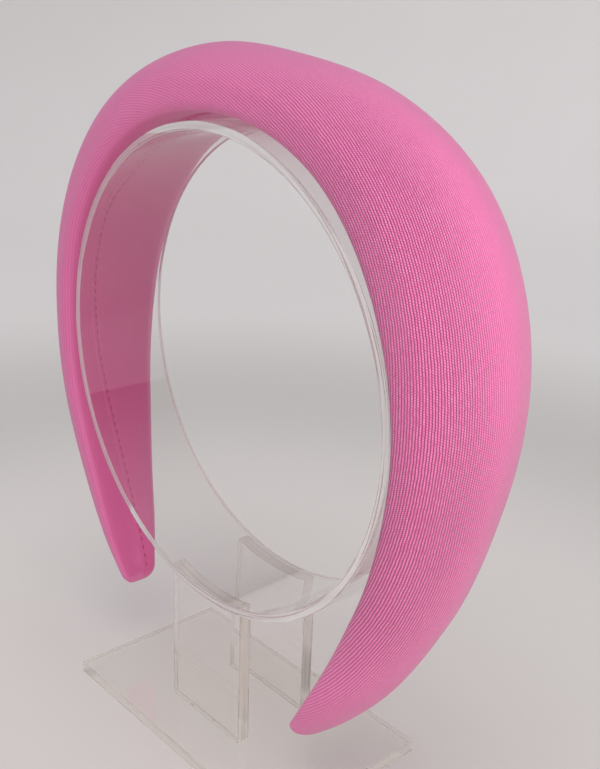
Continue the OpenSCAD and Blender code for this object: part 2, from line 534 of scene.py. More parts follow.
@dataclass(frozen=True)
class AcrylicFinish:
    """Clear acrylic sheet with sawn and polished edges."""

    tint: Colour = (0.995, 0.988, 0.978)
    edge_tint: Colour = (0.72, 0.68, 0.63)
    line_tint: Colour = (0.36, 0.31, 0.27)
    ior: float = 1.49
    roughness: float = 0.015
    edge_roughness: float = 0.22
    edge_haze: float = 0.5
    # Strength of the dark streaks at the left and at the right, a stronger side painting a
    # reflection into them, and how far left of the middle it starts to change over
    streaks_and_reflection: tuple[float, float] = (0.5, 0.5)
    reflection_reach: float = 40 * MM
    # Reflections inside the sheet after which light is let out again
    trapped_after: float = 1.5
    smear_roughness: float = 0.05
    relief: float = 0.05 * MM
    relief_strength: float = 0.15

    def material(
        self, name: str, shape: SheetShape, marks: bpy.types.NodeTree
    ) -> bpy.types.Material:
        """Builds the material of one clear piece.

        Args:
            name: the material's name.
            shape: the piece's sheet and its sawn edges.
            marks: the node group of edges and marks.

        Returns:
            The material.
        """
        made, graph = new_material(name)
        place = graph.node("ShaderNodeTexCoord").outputs
        edge = shape.sawn(graph, place["Normal"])
        # Side on which the streaks are stronger, as painted reflection
        reflection_side = graph.between(graph.split(place["Object"])["X"], -self.reflection_reach, 0.0)
        marks_and_reflection = graph.node("ShaderNodeGroup", node_tree=marks)
        for label, value in (
            ("Coordinates", place["Object"]),
            ("Edge", edge),
            ("Across", shape.across(graph, place["Object"])),
            ("Streaks", graph.spread(reflection_side, *self.streaks_and_reflection)),
        ):
            graph.feed(marks_and_reflection.inputs[label], value)
        normal = graph.bump(marks_and_reflection.outputs["Height"], self.relief, self.relief_strength)
        smears = (marks_and_reflection.outputs["Smears"], self.smear_roughness)
        clear = graph.node(
            "ShaderNodeBsdfPrincipled",
            {
                "Base Color": self.tint,
                "Roughness": graph.math("MULTIPLY_ADD", *smears, self.roughness),
                "IOR": self.ior,
                "Transmission Weight": 1.0,
                "Normal": normal,
            },
        )
        frosted = graph.node(
            "ShaderNodeBsdfPrincipled",
            {
                "Base Color": graph.blend(marks_and_reflection.outputs["Lines"], self.edge_tint, self.line_tint),
                "Roughness": self.edge_roughness,
                "IOR": self.ior,
                "Normal": normal,
            },
        )
        through = graph.node("ShaderNodeBsdfTransparent", {"Color": self.tint})
        body = graph.mix(edge, clear, graph.mix(self.edge_haze, through, frosted))
        path = graph.node("ShaderNodeLightPath").outputs
        soft = graph.math("MAXIMUM", path["Is Shadow Ray"], path["Is Diffuse Ray"])
        trapped = graph.math("GREATER_THAN", path["Glossy Depth"], self.trapped_after)
        graph.finish(graph.mix(graph.math("MAXIMUM", soft, trapped), body, through))
        return made


@dataclass(frozen=True)
class PaperFinish:
    """The pale sweep of paper that the stand stands on."""

    colour: Colour = (0.84, 0.80, 0.76)
    wall: Colour = (0.87, 0.832, 0.812)
    # Painted shade in a band where the floor turns up: its colour, middle and reach before and
    # after
    crease_shade: Colour = (0.66, 0.63, 0.60)
    crease_at: float = 0.24
    crease_before: float = 0.12
    crease_after: float = 0.16
    # The grain's darker tone, as a share of the paper's colour, and how much of it shows
    grain_shade: float = 0.93
    grain_share: float = 0.3
    grain_scale: float = 9.0
    specular: float = 0.2
    roughness: float = 0.6

    def material(self) -> bpy.types.Material:
        """Builds the sweep's material, a little darker with painted shade where the wall begins."""
        made, graph = new_material("pale_sweep")
        place = graph.node("ShaderNodeTexCoord").outputs["Object"]
        grain = graph.noise(place, self.grain_scale, 4.0)["Fac"]
        out = graph.vector("LENGTH", place).outputs["Value"]
        far = graph.between(out, self.crease_at, self.crease_at + self.crease_after)
        near = graph.between(out, self.crease_at - self.crease_before, self.crease_at)
        # Painted shade in the band where the wall begins
        colour = graph.blend(near, self.colour, self.crease_shade)
        colour = graph.blend(far, colour, self.wall)
        darker = tuple(self.grain_shade * c for c in self.colour)
        colour = graph.blend(graph.math("MULTIPLY", grain, self.grain_share), colour, darker)
        shader = graph.node(
            "ShaderNodeBsdfPrincipled",
            {
                "Base Color": colour,
                "Roughness": self.roughness,
                "Specular IOR Level": self.specular,
            },
        )
        graph.finish(shader)
        return made


def hermite(places: np.ndarray, rows: np.ndarray, at: np.ndarray) -> np.ndarray:
    """Reads a smooth curve through the rows of a table, level at its first row.

    Args:
        places: the rows' places, rising.
        rows: the rows' values.
        at: the places to read.

    Returns:
        The values there.
    """
    last = len(places) - 1
    low = np.maximum(np.arange(last + 1) - 1, 0)
    high = np.minimum(np.arange(last + 1) + 1, last)
    slopes = (rows[high] - rows[low]) / (places[high] - places[low])
    slopes[0] = 0.0
    end = np.clip(np.searchsorted(places, at), 1, last)
    span = places[end] - places[end - 1]
    t = (at - places[end - 1]) / span
    return (
        rows[end - 1] * (1 + 2 * t) * (1 - t) ** 2
        + rows[end] * t**2 * (3 - 2 * t)
        + span * slopes[end - 1] * t * (1 - t) ** 2
        - span * slopes[end] * t**2 * (1 - t)
    )


def spline_weights(at: np.ndarray, knots: int) -> np.ndarray:
    """Weights that read a smooth curve through evenly spaced knots.

    Args:
        at: places from 0, the first knot, to 1, the last one.
        knots: how many knots there are.

    Returns:
        One row of weights for each place.
    """
    where = np.clip(at, 0.0, 1.0) * (knots - 1)
    left = np.clip(np.floor(where).astype(int), 0, knots - 2)
    t = where - left
    shares = (
        -0.5 * t + t**2 - 0.5 * t**3,
        1 - 2.5 * t**2 + 1.5 * t**3,
        0.5 * t + 2 * t**2 - 1.5 * t**3,
        -0.5 * t**2 + 0.5 * t**3,
    )
    weights = np.zeros((len(at), knots))
    for step, share in enumerate(shares, -1):
        np.add.at(weights, (np.arange(len(at)), np.clip(left + step, 0, knots - 1)), share)
    return weights


@dataclass(frozen=True)
class Seat:
    """The ring that the band rests on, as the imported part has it."""

    centre: Vector
    radius: float
    length: float

    @classmethod
    def of_node(cls, node: str) -> "Seat":
        """Measures the ring.

        Args:
            node: the name of the ring's node.

        Returns:
            The seat.
        """
        low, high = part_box(node)
        return cls((low + high) / 2, (high.x - low.x) / 2, high.y - low.y)


@dataclass(frozen=True)
class BandForm:
    """Form of the padded band: its arch, its sections and how it sits on the ring."""

    seat: Seat
    length: float = 367 * MM
    width: float = 33 * MM
    padding: float = 19.3 * MM
    tip_round: float = 3.8 * MM
    tip_power: float = 3.6
    crest_lean: float = 0.18
    rim_share: float = 0.41
    face_power: float = 5.0
    crest_power: float = 1.85
    rim_power: float = 1.75
    roll: float = math.radians(6)
    lean: float = math.radians(1.8)
    forward: float = 1 * MM
    seat_gap: float = 0.3 * MM
    # Arcs of the inner face from the crown to a tip: length as a share of half the band,
    # radius as a share of the ring's
    arcs: tuple = ((0.120, 1.180), (0.164, 0.845), (0.243, 1.135), (0.175, 1.670), (0.298, 6.0))
    # Sections from the crown to a tip: place, share of the width, share of the padding
    sections: tuple = (
        (0.00, 0.88, 0.77),
        (0.12, 0.93, 0.87),
        (0.25, 1.00, 1.00),
        (0.36, 1.00, 0.97),
        (0.55, 0.92, 0.75),
        (0.70, 0.80, 0.72),
        (0.82, 0.64, 0.66),
        (0.92, 0.49, 0.48),
        (1.00, 0.30, 0.26),
    )
    outline_steps: int = 720

    @property
    def half(self) -> float:
        """Length of the band from the crown to a tip."""
        return self.length / 2

    def stations(self, body_steps: int, tip_steps: int) -> tuple[np.ndarray, np.ndarray]:
        """Places along the band where its sections are taken.

        Args:
            body_steps: steps from the crown to where a tip begins to round off.
            tip_steps: steps over each rounded tip, short of its pole.

        Returns:
            Signed distances from the crown, and how far each section is drawn in.
        """
        body = self.half - self.tip_round
        turns = np.arange(1, tip_steps + 1) / (tip_steps + 1) * math.pi / 2
        tip = body + self.tip_round * np.sin(turns)
        side = np.concatenate([np.arange(1, body_steps + 1) / body_steps * body, tip])
        shrink = np.concatenate([np.ones(body_steps), np.cos(turns)])
        return (
            np.concatenate([-side[::-1], [0.0], side]),
            np.concatenate([shrink[::-1], [1.0], shrink]),
        )

    def inner_face(self, distance: np.ndarray) -> tuple[np.ndarray, np.ndarray, np.ndarray]:
        """Follows the inner face from the crown.

        Args:
            distance: signed distances from the crown.

        Returns:
            Place along X and Z from the crown, and the turn there in radians.
        """
        left = np.abs(distance)
        x = np.zeros_like(left)
        z = np.zeros_like(left)
        turn = np.zeros_like(left)
        for index, (share, size) in enumerate(self.arcs):
            last = index == len(self.arcs) - 1
            run = left if last else np.minimum(left, share * self.half)
            left = left - run
            radius = size * self.seat.radius
            end = turn + run / radius
            x = x + radius * (np.sin(end) - np.sin(turn))
            z = z + radius * (np.cos(end) - np.cos(turn))
            turn = end
        hand = np.where(distance < 0, -1.0, 1.0)
        return hand * x, z, hand * turn

    def size_at(self, distance: np.ndarray) -> tuple[np.ndarray, np.ndarray]:
        """Width and thickness of the band at distances from the crown."""
        table = np.array(self.sections)
        place = np.abs(distance) / self.half
        return (
            self.width * hermite(table[:, 0], table[:, 1], place),
            self.padding * hermite(table[:, 0], table[:, 2], place),
        )

    def outline(self, width: float, thick: float, shrink: float, start: float) -> np.ndarray:
        """Traces one section, from a place on its inner face over the front rim and the crest.

        Args:
            width: the section's width.
            thick: the section's thickness.
            shrink: how far a tip draws the section in.
            start: where on the inner face the outline starts and ends, across the band.

        Returns:
            Closed row of points: across, out from the inner face, and angle in the section.
        """
        cosine = np.clip(2 * start / width, -0.95, 0.95)
        first = 2 * math.pi - math.acos(math.copysign(abs(cosine) ** (self.face_power / 2), cosine))
        angle = first - np.linspace(0.0, 2 * math.pi, self.outline_steps + 1)
        padded = np.mod(angle, 2 * math.pi) < math.pi
        c, s = np.cos(angle), np.sin(angle)
        rim = self.rim_share * thick
        power = np.where(padded, self.rim_power, self.face_power)
        across = np.sign(c) * np.abs(c) ** (2 / power) * width / 2
        raised = rim + (thick - rim) * np.abs(s) ** (2 / self.crest_power)
        flat = rim * (1 - np.abs(s) ** (2 / self.face_power))
        out = np.where(padded, raised, flat)
        across = (across + self.crest_lean * out) * shrink ** (2 / self.tip_power)
        out = thick / 2 + (out - thick / 2) * shrink
        return np.stack([across, out, angle], axis=1)

    def placed(self, points: np.ndarray) -> np.ndarray:
        """Sets points of the band's own frame where the band sits on the ring.

        Args:
            points: points with the crown of the inner face at their origin.

        Returns:
            The points in the part's frame.
        """
        lift = (self.seat.length / 2 + self.forward) * math.sin(self.lean)
        height = (self.seat.radius + self.seat_gap + lift) / math.cos(self.lean)
        turn = Matrix.Rotation(self.roll, 3, "Y") @ Matrix.Rotation(-self.lean, 3, "X")
        centre = np.array(self.seat.centre) - np.array([0.0, self.forward, 0.0])
        return (points + np.array([0.0, 0.0, height])) @ np.array(turn).T + centre


@dataclass(frozen=True)
class SeamLine:
    """Lap of the cover along the band's inner face, and its row of stitches."""

    # Places of the stitches: share of half the band, and across the band as a share of half
    # its width, on the left leg and on the right leg
    rows: tuple = (
        (0.00, -0.16, -0.16),
        (0.15, -0.18, -0.20),
        (0.29, -0.30, -0.26),
        (0.36, -0.45, -0.33),
        (0.46, -0.44, -0.36),
        (0.60, -0.32, -0.30),
        (0.74, -0.10, -0.16),
        (0.87, 0.14, 0.06),
        (0.95, 0.36, 0.28),
        (1.00, 0.45, 0.36),
    )
    lap: float = 1.3 * MM
    fold: float = 0.42 * MM
    fade: float = 5.0 * MM
    # The lap's own edge is rounded off by a share of the fold's depth, over a short way
    rounding: float = 0.35
    rounding_reach: float = 0.12 * MM
    groove: float = 0.22 * MM
    groove_width: float = 0.55 * MM
    # Between two stitches the groove is shallower by this share, and the cloth puckers
    slackening: float = 0.45
    pucker: float = 0.14 * MM
    pitch: float = STITCH_PITCH

    def stitches_at(self, form: BandForm, distance: np.ndarray) -> np.ndarray:
        """Where the stitches run across the band, at distances from the crown."""
        table = np.array(self.rows)
        place = np.abs(distance) / form.half
        left = hermite(table[:, 0], table[:, 1], place)
        right = hermite(table[:, 0], table[:, 2], place)
        return np.where(distance < 0, left, right) * form.size_at(distance)[0] / 2

    def inset(self, before: np.ndarray, after: np.ndarray, distance: float) -> np.ndarray:
        """How far the cover is pressed into the padding near the seam.

        Args:
            before: distance along the outline from the fold, on the layer under the lap.
            after: distance along the outline to the fold, on the lap.
            distance: distance of the section from the crown.

        Returns:
            The inset at each point.
        """
        under = self.fold * np.exp(-((before / self.fade) ** 2))
        rounded = self.rounding * self.fold * np.exp(-((after / self.rounding_reach) ** 2))
        beat = 0.5 + 0.5 * math.cos(2 * math.pi * distance / self.pitch)
        near = np.exp(-(((after - self.lap) / self.groove_width) ** 2))
        wide = np.exp(-(((after - self.lap) / (3 * self.groove_width)) ** 2))
        groove = self.groove * (1 - self.slackening * beat)
        return np.where(before < after, under, rounded + groove * near + self.pucker * beat * wide)


@dataclass(frozen=True)
class WeaveRun:
    """How the knit's wales run over the band: they turn round it a little as it goes."""

    # Place as a share of half the band, pitch of the wales in millimetres and their slant to
    # the band in degrees, both on the front flank
    rows: tuple = (
        (-1.00, 0.92, 9.0),
        (-0.76, 0.88, 9.0),
        (-0.57, 0.78, 6.0),
        (-0.32, 0.62, 8.0),
        (-0.11, 0.60, 13.0),
        (0.04, 0.60, 16.0),
        (0.12, 0.58, 15.0),
        (0.20, 0.54, 10.0),
        (0.29, 0.55, 3.5),
        (0.36, 0.58, 1.0),
        (0.44, 0.62, -3.0),
        (0.53, 0.62, -2.5),
        (0.61, 0.66, 2.5),
        (0.77, 0.71, 3.5),
        (0.86, 0.74, 2.0),
        (1.00, 0.78, 4.0),
    )
    pitch: float = WALE_PITCH
    flank: float = -19 * MM
    # Over the crest the cloth is stretched along the band, which draws its wales together
    crest_draw: float = 0.35
    crest_reach: float = 28 * MM
    drawn_to: float = 0.55
    drawn_fade: float = 0.1
    # How deep the knit looks: along the band from its left tip to its right tip, by share of
    # half the band, then on its front rim, on its back rim and on the flat inner face
    depth_rows: tuple = (
        (-1.0, 0.3),
        (-0.8, 0.45),
        (-0.3, 0.4),
        (0.0, 0.52),
        (0.2, 0.68),
        (0.35, 0.78),
        (0.55, 0.9),
        (0.7, 0.72),
        (0.85, 0.5),
        (1.0, 0.2),
    )
    # On the front rim the knit's depth paints shade into its grooves and gaps, as well as deepening
    # its relief
    front_depth: float = 3.1
    back_depth: float = 0.75
    inner_depth: float = 0.12
    pole_depth: float = 0.6
    rim_reach: float = 14 * MM
    # The front rim's cloth opens, deepening its relief and its painted shade in the grooves,
    # from here on, over a share of half the band, and closes over the same share before the
    # right tip, where a part of it is left open
    opens_from: float = -0.15
    opens_over: float = 0.4
    left_open: float = 0.25
    # Height over the inner face where the knit starts to deepen, and the height it takes,
    # as shares of the thickness
    deepens_from: float = 0.03
    deepens_over: float = 0.10

    def depth(
        self, form: BandForm, across: np.ndarray, distance: np.ndarray, height: np.ndarray
    ) -> np.ndarray:
        """Finds how deep the knit looks at points of the cover.

        Args:
            form: the band's form.
            across: distance of each point from the crest, by section and column.
            distance: the sections' distances from the crown.
            height: each point's height over the inner face, as a share of the thickness.

        Returns:
            The depth of the knit there, 1 on the crest of a leg.
        """
        table = np.array(self.depth_rows)
        place = distance / form.half
        seen = np.interp(place, table[:, 0], table[:, 1])[:, None]
        even = np.interp(np.abs(place), table[:, 0], table[:, 1])[:, None]
        front = np.clip(-across / self.rim_reach, 0.0, 1.0)
        back = np.clip(across / self.rim_reach, 0.0, 1.0)
        opened_and_shaded = np.clip((place[:, None] - self.opens_from) / self.opens_over, 0.0, 1.0)
        opened_and_shaded *= np.clip((1.0 - place[:, None]) / self.opens_over, self.left_open, 1.0)
        outer = seen * (1 + (self.front_depth - 1) * front * opened_and_shaded)
        outer = outer + (even * self.back_depth - seen) * back
        raised = np.clip((height - self.deepens_from) / self.deepens_over, 0.0, 1.0)
        return self.inner_depth + (outer - self.inner_depth) * raised

    def lay(self, form: BandForm, across: np.ndarray, distance: np.ndarray) -> np.ndarray:
        """Finds the cloth's own measures at points of the cover.

        Args:
            form: the band's form.
            across: distance of each point from the crest, by section and column.
            distance: the sections' distances from the crown.

        Returns:
            Measures across and along the cloth, which are a whole pitch apart at each wale.
        """
        table = np.array(self.rows)
        place = distance / form.half
        pitch = hermite(table[:, 0], table[:, 1], place) * MM
        slant = np.tan(np.radians(hermite(table[:, 0], table[:, 2], place)))
        steps = np.diff(distance) * (slant / pitch)[1:]
        turned = np.concatenate([[0.0], np.cumsum(steps)])
        fade = (self.drawn_to - np.abs(place)) / self.drawn_fade + 0.5
        draw = self.crest_draw * np.clip(fade, 0.0, 1.0)
        inner = across - self.flank
        cubes = (across**3 - self.flank**3) / (3 * self.crest_reach**2)
        drawn = (self.flank / self.crest_reach) ** 2 * inner - cubes
        wales = (inner + draw[:, None] * drawn) / pitch[:, None] + turned[:, None]
        courses = distance[:, None] - inner * slant[:, None]
        return np.stack([wales * self.pitch, courses], axis=2)


@dataclass(frozen=True)
class Padding:
    """How the cloth simulation fills the cover, held at its inner face and its tips."""

    body_steps: int = 44
    tip_steps: int = 3
    columns: int = 27
    pressure: float = 4.0
    frames: int = 20
    slack: float = 0.15 * MM
    cap: float = 1.1 * MM
    keep: float = 0.7
    # Height over the inner face from which the cover is free, as a share of the padding
    free_from: float = 0.25


class PaddedBand:
    """The band: a lapped jersey cover over simulated padding."""

    body_steps = 240
    tip_steps = 9
    # Distances along the outline of the columns beside the fold, in millimetres
    under_columns = (0.0, 0.15, 0.4, 0.8, 1.4)
    lap_columns = (2.6, 2.2, 1.9, 1.65, 1.45, 1.3, 1.15, 0.95, 0.7, 0.45, 0.25, 0.12, 0.05, 0.0)
    body_columns = 78
    full_girth = 30 * MM
    # Column of the lap that the stitches run along, and how far they end from the tips
    stitched_column = 1.3
    stitch_clear = 4 * MM
    # Length before each tip over which the seam's relief fades out
    seam_fade = 6 * MM

    def __init__(self, form: BandForm, seam: SeamLine, weave: WeaveRun, padding: Padding) -> None:
        """Keeps the band's form, seam, weave and padding."""
        self.form = form
        self.seam = seam
        self.weave = weave
        self.padding = padding
        self.stitch_path: list[Vector] = []
        self.stitch_normals: list[Vector] = []

    def rows_of(self, distance: np.ndarray, shrink: np.ndarray, spacing: Callable) -> dict:
        """Samples the band's sections at chosen places along their outlines.

        Args:
            distance: the sections' signed distances from the crown.
            shrink: how far each section is drawn in.
            spacing: gives the places along an outline from its whole length.

        Returns:
            Grids of across, out, place along the outline, the outline's length, and the
            place of the crest along it.
        """
        width, thick = self.form.size_at(distance)
        fold = self.seam.stitches_at(self.form, distance) - self.seam.lap
        rows = {"across": [], "out": [], "run": [], "girth": [], "crest": []}
        for w, t, k, start in zip(width, thick, shrink, fold):
            line = self.form.outline(w, t, k, start)
            steps = np.hypot(*np.diff(line[:, :2], axis=0).T)
            run = np.concatenate([[0.0], np.cumsum(steps)])
            at = spacing(run[-1])
            rows["across"].append(np.interp(at, run, line[:, 0]))
            rows["out"].append(np.interp(at, run, line[:, 1]))
            rows["run"].append(at)
            rows["girth"].append(run[-1])
            rows["crest"].append(np.interp(-math.pi / 2, -line[:, 2], run))
        return {name: np.array(values) for name, values in rows.items()}

    def points_of(self, distance: np.ndarray, rows: dict) -> np.ndarray:
        """Turns sampled sections into a grid of points in the part's frame."""
        x, z, turn = self.form.inner_face(distance)
        out = rows["out"]
        grid = np.stack(
            [
                x[:, None] + out * np.sin(turn)[:, None],
                rows["across"],
                z[:, None] + out * np.cos(turn)[:, None],
            ],
            axis=2,
        )
        return self.form.placed(grid.reshape(-1, 3)).reshape(grid.shape)

    def spacing(self, girth: float) -> np.ndarray:
        """Places of the fine columns along an outline of the given length."""
        scale = min(1.0, girth / self.full_girth) * MM
        under = np.array(self.under_columns) * scale
        lap = girth - np.array(self.lap_columns) * scale
        body = np.linspace(under[-1], lap[0], self.body_columns + 2)[1:-1]
        return np.concatenate([under, body, lap])

    def simulate(self) -> np.ndarray:
        """Fills the cover by cloth simulation under pressure.

        Returns:
            How far each knot of the coarse cover moved.
        """
        plan = self.padding
        distance, shrink = self.form.stations(plan.body_steps, plan.tip_steps)
        rows = self.rows_of(distance, shrink, lambda girth: np.linspace(0, girth, plan.columns))
        rest = self.points_of(distance, rows)
        middle = rest[:, :-1].mean(axis=1, keepdims=True)
        inward = middle - rest
        inward /= np.maximum(np.linalg.norm(inward, axis=2, keepdims=True), 1e-9)
        free = np.clip(rows["out"] / (plan.free_from * self.form.padding), 0.0, 1.0)[..., None]
        free[: plan.tip_steps] = 0.0
        free[-plan.tip_steps :] = 0.0
        start = rest + inward * plan.slack * free
        cover = grid_mesh("cover_form", start[:, :-1])
        held = cover.vertex_groups.new(name="held")
        for index, share in enumerate(free[:, :-1, 0].ravel()):
            held.add([index], 1.0 - float(share), "REPLACE")
        moved = settle(cover, "held", plan.pressure, plan.frames)
        count = len(distance) * (plan.columns - 1)
        moved = moved[:count].reshape(len(distance), plan.columns - 1, 3)
        moved = np.concatenate([moved, moved[:, :1]], axis=1) - start
        moved *= free
        length = np.linalg.norm(moved, axis=2, keepdims=True)
        moved *= np.minimum(1.0, plan.cap / np.maximum(length, 1e-9))
        log.info("padding moved by up to %.2f mm", float(length.max()) / MM)
        return (start + moved - rest) * plan.keep

    def build(self, jersey: bpy.types.Material) -> bpy.types.Object:
        """Builds the cover.

        Args:
            jersey: the cover's material.

        Returns:
            The cover's object.
        """
        form = self.form
        distance, shrink = form.stations(self.body_steps, self.tip_steps)
        rows = self.rows_of(distance, shrink, self.spacing)
        before = rows["run"]
        after = rows["girth"][:, None] - before
        tip = np.clip((form.half - np.abs(distance)) / self.seam_fade, 0.0, 1.0)
        for index, place in enumerate(distance):
            rows["out"][index] += tip[index] * self.seam.inset(before[index], after[index], place)
        points = self.points_of(distance, rows)
        points += self.padding_moves(distance, before / rows["girth"][:, None])
        cover = grid_mesh("band_cover", points, self.poles())
        self.lay_weave(cover, distance, rows)
        cover.data.materials.append(jersey)
        self.trace_stitches(distance, rows, points)
        return cover

    def padding_moves(self, distance: np.ndarray, share: np.ndarray) -> np.ndarray:
        """Reads the simulated padding at the fine grid.

        Args:
            distance: the fine sections' distances from the crown.
            share: each fine column's place, as a share of its outline.

        Returns:
            The move of each point.
        """
        coarse = self.simulate()
        knots, _ = self.form.stations(self.padding.body_steps, self.padding.tip_steps)
        where = np.interp(distance, knots, np.linspace(0.0, 1.0, len(knots)))
        along = np.einsum("sk,kcx->scx", spline_weights(where, len(knots)), coarse)
        return np.stack(
            [spline_weights(row, self.padding.columns) @ moves for row, moves in zip(share, along)]
        )

    def poles(self) -> np.ndarray:
        """The two points that close the tips."""
        distance = np.array([-self.form.half, self.form.half])
        thick = self.form.size_at(distance)[1]
        rows = {"across": np.zeros((2, 1)), "out": thick[:, None] / 2}
        return self.points_of(distance, rows)[:, 0]

    def lay_weave(self, cover: bpy.types.Object, distance: np.ndarray, rows: dict) -> None:
        """Gives the cover its weave map: metres across from the crest, and metres along.

        Args:
            cover: the cover's object.
            distance: the sections' distances from the crown.
            rows: the sampled sections.
        """
        mesh = cover.data
        thick = self.form.size_at(distance)[1][:, None]
        across = rows["run"] - rows["crest"][:, None]
        depths = self.weave.depth(self.form, across, distance, rows["out"] / thick)
        depths = np.append(depths.ravel(), [self.weave.pole_depth] * 2)
        depth = mesh.attributes.new(DEPTH_MAP, "FLOAT", "POINT")
        depth.data.foreach_set("value", depths.astype(np.float32))
        sections, columns = across.shape
        laid = self.weave.lay(self.form, across, distance)
        places = np.concatenate([laid.reshape(-1, 2), laid[[0, -1], columns // 2]])
        corners = np.zeros(len(mesh.loops), dtype=np.int32)
        mesh.loops.foreach_get("vertex_index", corners)
        totals = np.zeros(len(mesh.polygons), dtype=np.int32)
        mesh.polygons.foreach_get("loop_total", totals)
        # A face that closes the tube reads the outline's end where it meets its first column
        face = np.repeat(np.arange(len(totals)), totals)
        column = np.where(corners < sections * columns, corners % columns, -1)
        last = np.zeros(len(totals), dtype=bool)
        np.logical_or.at(last, face, column == columns - 1)
        closing = last[face] & (column == 0)
        values = places[corners]
        values[closing, 0] = places[corners[closing] + columns - 1, 0]
        layer = mesh.uv_layers.new(name=WEAVE_MAP)
        layer.uv.foreach_set("vector", values.astype(np.float32).ravel())

    def trace_stitches(self, distance: np.ndarray, rows: dict, points: np.ndarray) -> None:
        """Keeps the line on the cover that the stitches follow, and its normals.

        Args:
            distance: the sections' distances from the crown.
            rows: the sampled sections.
            points: the cover's grid of points.
        """
        column = self.lap_columns.index(self.stitched_column) - len(self.lap_columns)
        _, _, turn = self.form.inner_face(distance)
        clear = np.abs(distance) < self.form.half - self.stitch_clear
        lower = np.stack([-np.sin(turn), np.zeros_like(turn), -np.cos(turn)], axis=1)
        origin = self.form.placed(np.zeros((1, 3)))
        normals = self.form.placed(lower) - origin
        self.stitch_path = [Vector(p) for p in points[clear, column]]
        self.stitch_normals = [Vector(n) for n in normals[clear]]


def grid_mesh(name: str, points: np.ndarray, poles: np.ndarray | None = None) -> bpy.types.Object:
    """Makes a closed tube from a grid of points.

    Args:
        name: the object's name.
        points: grid of sections by columns, whose last column meets the first.
        poles: the two points that close the ends, or None for flat ends.

    Returns:
        The object, smooth and with its faces outwards.
    """
    sections, columns = points.shape[:2]
    vertices = points.reshape(-1, 3)
    column = np.arange(columns)
    following = (column + 1) % columns
    start = (np.arange(sections - 1) * columns)[:, None]
    quads = np.stack(
        [start + column, start + following, start + columns + following, start + columns + column],
        axis=2,
    ).reshape(-1, 4)
    faces = quads.tolist()
    end = (sections - 1) * columns
    if poles is None:
        faces += [column[::-1].tolist(), (end + column).tolist()]
    else:
        vertices = np.concatenate([vertices, poles])
        first, last = len(vertices) - 2, len(vertices) - 1
        faces += [[first, b, a] for a, b in zip(column.tolist(), following.tolist())]
        faces += [[last, end + a, end + b] for a, b in zip(column.tolist(), following.tolist())]
    mesh = bpy.data.meshes.new(name)
    mesh.from_pydata(vertices.tolist(), [], faces)
    outwards(mesh)
    mesh.shade_smooth()
    return add_object(name, mesh)


def outwards(mesh: bpy.types.Mesh) -> None:
    """Turns a closed mesh's faces outwards."""
    work = bmesh.new()
    work.from_mesh(mesh)
    if work.calc_volume(signed=True) < 0:
        bmesh.ops.reverse_faces(work, faces=work.faces)
    work.to_mesh(mesh)
    work.free()


def settle(cover: bpy.types.Object, held: str, pressure: float, frames: int) -> np.ndarray:
    """Runs a cloth simulation under pressure, without gravity, and removes the object.

    Args:
        cover: the closed cover.
        held: name of the vertex group that stays in place.
        pressure: the pressure inside the cover.
        frames: the frame that the result is taken at.

    Returns:
        Where the cover's points came to.
    """
    scene = bpy.context.scene
    cloth = cover.modifiers.new("padding", "CLOTH")
    settings = cloth.settings
    settings.quality = 6
    settings.mass = 0.2
    settings.tension_stiffness = 30
    settings.compression_stiffness = 30
    settings.shear_stiffness = 15
    settings.bending_stiffness = 2
    settings.use_pressure = True
    settings.uniform_pressure_force = pressure
    settings.vertex_group_mass = held
    settings.pin_stiffness = 1
    settings.effector_weights.gravity = 0
    cloth.collision_settings.use_collision = False
    for number in range(1, frames + 1):
        scene.frame_set(number)
    shown = cover.evaluated_get(bpy.context.evaluated_depsgraph_get())
    places = np.zeros(len(shown.data.vertices) * 3, dtype=np.float32)
    shown.data.vertices.foreach_get("co", places)
    bpy.data.objects.remove(cover)
    scene.frame_set(1)
    return places.reshape(-1, 3).astype(float)


